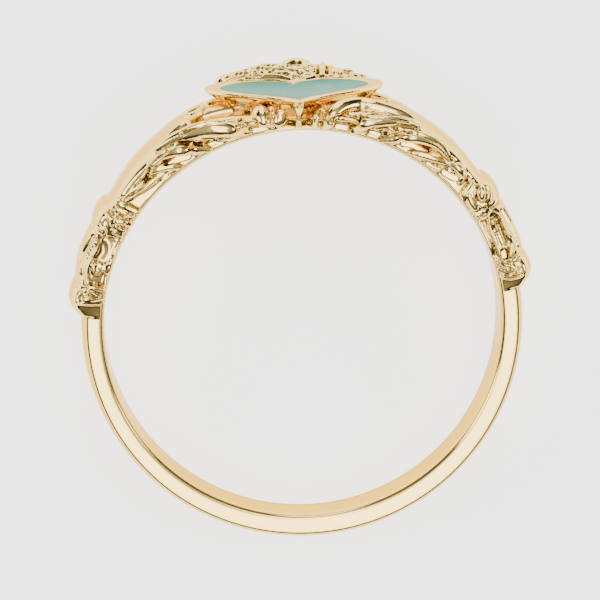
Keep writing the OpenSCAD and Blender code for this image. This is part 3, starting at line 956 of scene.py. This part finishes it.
def keelPart():
    h = headSizes
    bore = ringSizes["bore"]
    rows = [(0.11, 0.17, 1.76), (0.18, 0.15, 1.9), (0.34, 0.13, 2.15), (0.55, 0.15, 2.5), (0.72, 0.2, 2.8),
            (0.82, 0.22, 2.95)]
    path = [(0, bore + h["rimHigh"] * s, z) for s, _, z in rows]
    path = spline([(*p, r[1]) for p, r in zip(path, rows)], 8)
    return rope(path[:, :3], path[:, 3], [(0, 0, 1)] * len(path), 1.0)


def makeHead():
    cup = cupParts()
    crown, beads = crownBase()
    spotAt = surfaceOf(turnHead(crown[0]), crown[1], **crownSurface)
    parts = [(turnHead(p), f) for p, f in [cup, crown, keelPart()] + beads]
    parts += [stroke(spotAt, row) for row in crownBars]
    for b in crownBeads:
        spot, up = spotAt(b[0], b[1])
        parts.append(ball(spot, up, b[2:]))
    for row in crownGrains:
        parts.append(grains([pictureRow(spotAt, path) for path in row["rows"]], row["sizes"], gold))
    obj = fused("head", parts, headSizes["voxel"])
    finishSkin(obj, crownGrooves, crownSurface)
    print("ring: head", len(obj.data.polygons), "faces")
    return obj


# Stone: flat polished heart with a softened edge
stoneSizes = {"edge": 0.05, "steps": 160, "sink": 0.0}
# the shift from deep towards pale and grey is painted reflection on the stone's own green; the mottle and veins are its
# own colour
jadeLook = {
    "deep": (0.02, 0.20, 0.11), "pale": (0.06, 0.28, 0.18), "grey": (0.12, 0.30, 0.22), "vein": (0.24, 0.42, 0.33),
    "roughness": 0.5, "scale": 420.0, "veinScale": 260.0,
}


def jadeMaterial(name, look):
    mat = bpy.data.materials.new(name)
    mat.use_nodes = True
    nodes, links = mat.node_tree.nodes, mat.node_tree.links
    shader = nodes["Principled BSDF"]
    place = nodes.new("ShaderNodeTexCoord")
    split = nodes.new("ShaderNodeSeparateXYZ")
    links.new(place.outputs["Object"], split.inputs["Vector"])
    cloud = nodes.new("ShaderNodeTexNoise")
    cloud.inputs["Scale"].default_value = look["scale"]
    cloud.inputs["Detail"].default_value = 6.0
    links.new(place.outputs["Object"], cloud.inputs["Vector"])
    # deeper green at the lobes, greyer and paler towards the point, where the grey is painted reflection of the white
    # surroundings on the polished face; height tells them apart as the ring lies
    down = nodes.new("ShaderNodeMapRange")
    down.inputs["From Min"].default_value = 0.0030
    down.inputs["From Max"].default_value = 0.0075
    links.new(split.outputs["Z"], down.inputs["Value"])
    shift = nodes.new("ShaderNodeMath")
    shift.operation = "MULTIPLY_ADD"
    shift.inputs[1].default_value = 0.7
    links.new(cloud.outputs["Fac"], shift.inputs[0])
    links.new(down.outputs["Result"], shift.inputs[2])
    ramp = nodes.new("ShaderNodeValToRGB")
    ramp.color_ramp.elements[0].position = 0.35
    ramp.color_ramp.elements[0].color = (*look["deep"], 1)
    ramp.color_ramp.elements[1].position = 1.0
    ramp.color_ramp.elements[1].color = (*look["grey"], 1)
    middle = ramp.color_ramp.elements.new(0.72)
    middle.color = (*look["pale"], 1)
    links.new(shift.outputs[0], ramp.inputs["Fac"])
    vein = nodes.new("ShaderNodeTexNoise")
    vein.inputs["Scale"].default_value = look["veinScale"]
    vein.inputs["Detail"].default_value = 8.0
    vein.inputs["Distortion"].default_value = 1.6
    links.new(place.outputs["Object"], vein.inputs["Vector"])
    line = nodes.new("ShaderNodeMapRange")
    line.inputs["From Min"].default_value = 0.55
    line.inputs["From Max"].default_value = 0.75
    line.inputs["To Max"].default_value = 0.5
    links.new(vein.outputs["Fac"], line.inputs["Value"])
    colour = nodes.new("ShaderNodeMix")
    colour.data_type = "RGBA"
    colour.inputs["B"].default_value = (*look["vein"], 1)
    links.new(ramp.outputs["Color"], colour.inputs["A"])
    links.new(line.outputs["Result"], colour.inputs["Factor"])
    links.new(colour.outputs["Result"], shader.inputs["Base Color"])
    polish = nodes.new("ShaderNodeMapRange")
    polish.inputs["To Min"].default_value = look["roughness"] * 0.8
    polish.inputs["To Max"].default_value = look["roughness"] * 1.4
    links.new(cloud.outputs["Fac"], polish.inputs["Value"])
    links.new(polish.outputs["Result"], shader.inputs["Roughness"])
    shader.inputs["Subsurface Weight"].default_value = 0.15
    shader.inputs["Subsurface Radius"].default_value = (0.3, 0.8, 0.5)
    shader.inputs["Subsurface Scale"].default_value = 0.0004
    shader.inputs["IOR"].default_value = 1.3
    shader.inputs["Specular IOR Level"].default_value = 0.12
    return mat


def makeStone():
    h, s = headSizes, stoneSizes
    top = ringSizes["bore"] + h["rimHigh"] - s["sink"]
    bottom = top - h["stoneThick"]
    sections = []
    for grow, y in ((-s["edge"], top), (-0.3 * s["edge"], top - 0.3 * s["edge"]), (0, top - s["edge"]), (0, bottom)):
        x, z = heartCurve(h["stoneWide"] + 2 * grow, h["stoneLong"] + 2 * grow, s["steps"])
        sections.append(np.stack([x, np.full_like(x, y), z], 1))
    points, faces = loft(sections)
    obj = meshObject("heartStone", lie(turnHead(points)), faces)
    return obj


shank = makeShank()
leftShoulder = makeShoulder("leftShoulder", -1, leftBars, leftBeads, leftGrooves, leftGrains)
rightShoulder = makeShoulder("rightShoulder", 1, rightBars, rightBeads, rightGrooves, rightGrains)
head = makeHead()
stone = makeStone()
jade = jadeMaterial("greenStone", jadeLook)
stone.data.materials.append(jade)
for piece in (shank, leftShoulder, rightShoulder, head):
    piece.data.materials.clear()
    piece.data.materials.append(gold)
    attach(piece, "root")
    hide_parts("ring_body")
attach(stone, "root")
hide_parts("heart_stone")
print("ring: pieces made")

# Floor, light and camera
stageSizes = {"floor": 0.6, "floorColour": (0.95, 0.95, 0.95), "floorGlow": 2.0, "world": 0.55}


def makeStage():
    s = stageSizes
    half = s["floor"]
    floor = meshObject("floor", [(-half, -half, 0), (half, -half, 0), (half, half, 0), (-half, half, 0)],
                       [(0, 1, 2, 3)])
    mat = bpy.data.materials.new("paleFloor")
    mat.use_nodes = True
    shader = mat.node_tree.nodes["Principled BSDF"]
    shader.inputs["Base Color"].default_value = (*s["floorColour"], 1)
    shader.inputs["Roughness"].default_value = 0.9
    shader.inputs["Specular IOR Level"].default_value = 0.1
    shader.inputs["Emission Color"].default_value = (1, 1, 1, 1)
    shader.inputs["Emission Strength"].default_value = s["floorGlow"]
    floor.data.materials.append(mat)
    world = bpy.data.worlds.new("studio")
    world.use_nodes = True
    bpy.context.scene.world = world
    nodes, links = world.node_tree.nodes, world.node_tree.links
    back = nodes["Background"]
    place = nodes.new("ShaderNodeTexCoord")
    split = nodes.new("ShaderNodeSeparateXYZ")
    links.new(place.outputs["Generated"], split.inputs["Vector"])
    ramp = nodes.new("ShaderNodeValToRGB")
    stops = [(0.0, 0.5), (0.1, 0.06), (0.3, 0.05), (0.5, 0.35), (0.75, 1.0), (1.0, 1.6)]
    while len(ramp.color_ramp.elements) < len(stops):
        ramp.color_ramp.elements.new(0.5)
    for element, (where, grey) in zip(ramp.color_ramp.elements, stops):
        element.position = where
        element.color = (grey, grey, grey, 1)
    links.new(split.outputs["Z"], ramp.inputs["Fac"])
    links.new(ramp.outputs["Color"], back.inputs["Color"])
    back.inputs["Strength"].default_value = s["world"]


lamps = [  # name, place in m, aim, size in m, power in W
    ("overhead", (0.02, 0.05, 0.30), (0, 0, 0), 0.22, 0.5),
    ("leftBox", (-0.28, 0.04, 0.14), (0, 0, 0.004), 0.16, 0.4),
    ("rightBox", (0.28, 0.0, 0.16), (0, 0, 0.004), 0.12, 0.3),
    ("nearBox", (0, -0.135, 0.268), (0, 0, 0.004), 0.18, 0.48),
    ("backBox", (0.0, 0.30, 0.10), (0, 0.01, 0.006), 0.2, 0.4),
]


def makeLamps():
    for name, place, aim, size, power in lamps:
        data = bpy.data.lights.new(name, "AREA")
        data.shape = "DISK"
        data.size = size
        data.energy = power
        obj = bpy.data.objects.new(name, data)
        obj.location = place
        obj.rotation_euler = (Vector(aim) - Vector(place)).to_track_quat("-Z", "Y").to_euler()
        bpy.context.scene.collection.objects.link(obj)


def makeCamera():
    turn = Matrix.Rotation(rad(ringSizes["tilt"]), 3, "X")
    right, up, toward = (turn @ v for v in (eyeRight, eyeUp, eyeToward))
    data = bpy.data.cameras.new("camera")
    data.sensor_width = 36
    data.lens = 36 * cameraSizes["focalPx"] / cameraSizes["imagePx"]
    data.clip_start = 0.01
    data.clip_end = 5
    obj = bpy.data.objects.new("camera", data)
    basis = Matrix((right, up, toward)).transposed().to_4x4()
    basis.translation = Vector(lie([tuple(eye)])[0])
    obj.matrix_world = basis
    bpy.context.scene.collection.objects.link(obj)
    bpy.context.scene.camera = obj


makeStage()
makeLamps()
makeCamera()
print("ring: scene ready")
